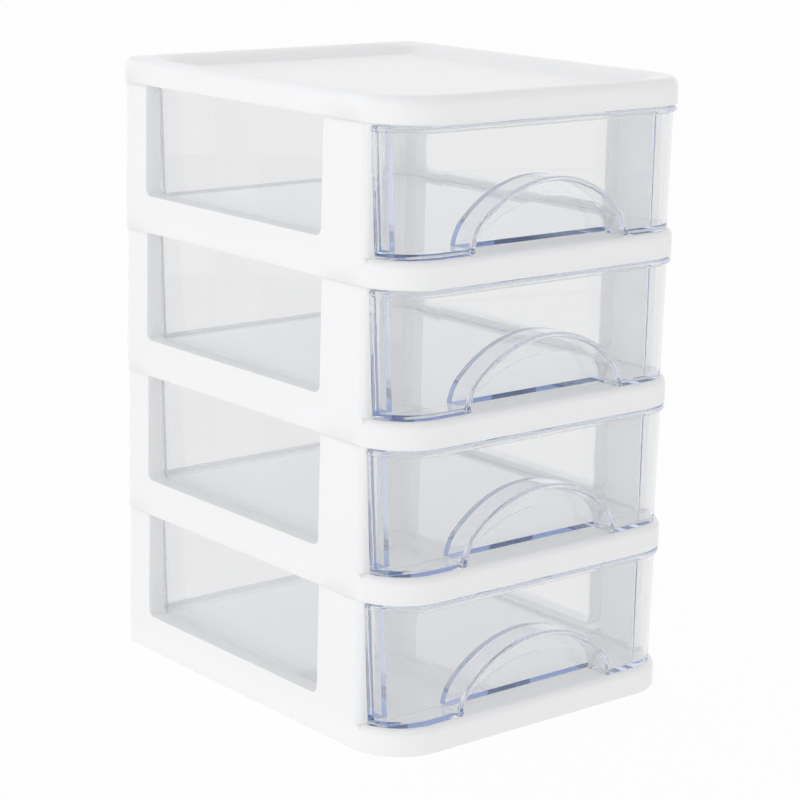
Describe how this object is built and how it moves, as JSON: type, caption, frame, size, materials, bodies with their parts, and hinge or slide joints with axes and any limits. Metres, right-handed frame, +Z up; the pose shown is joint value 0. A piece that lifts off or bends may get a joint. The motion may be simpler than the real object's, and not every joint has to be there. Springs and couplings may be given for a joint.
{
  "type": "desktop mini drawers",
  "caption": "Stacked desktop drawer unit: white open-sided tiers under a tray lid, with clear sliding drawers that have arched finger recesses.",
  "frame": {"origin": "centre of the footprint, on the surface that the unit stands on", "axes": "+Z up, the drawers open towards -Y, X across the width"},
  "size_m": [0.183, 0.217, 0.3005],
  "materials": {
    "white_plastic": "satin moulded polypropylene",
    "clear_plastic": "clear moulded polystyrene"
  },
  "bodies": {
    "carcass": {"lid": "white_plastic", "frame_1": "white_plastic", "frame_2": "white_plastic", "frame_3": "white_plastic", "frame_4": "white_plastic"},
    "drawer_1": {"drawer_1": "clear_plastic"},
    "drawer_2": {"drawer_2": "clear_plastic"},
    "drawer_3": {"drawer_3": "clear_plastic"},
    "drawer_4": {"drawer_4": "clear_plastic"}
  },
  "joints": [
    {"name": "drawer_1_slide", "type": "slide", "parent": "carcass", "child": "drawer_1", "axis": [0, -1, 0], "range_m": [0, 0.15]},
    {"name": "drawer_2_slide", "type": "slide", "parent": "carcass", "child": "drawer_2", "axis": [0, -1, 0], "range_m": [0, 0.15]},
    {"name": "drawer_3_slide", "type": "slide", "parent": "carcass", "child": "drawer_3", "axis": [0, -1, 0], "range_m": [0, 0.15]},
    {"name": "drawer_4_slide", "type": "slide", "parent": "carcass", "child": "drawer_4", "axis": [0, -1, 0], "range_m": [0, 0.15]}
  ]
}
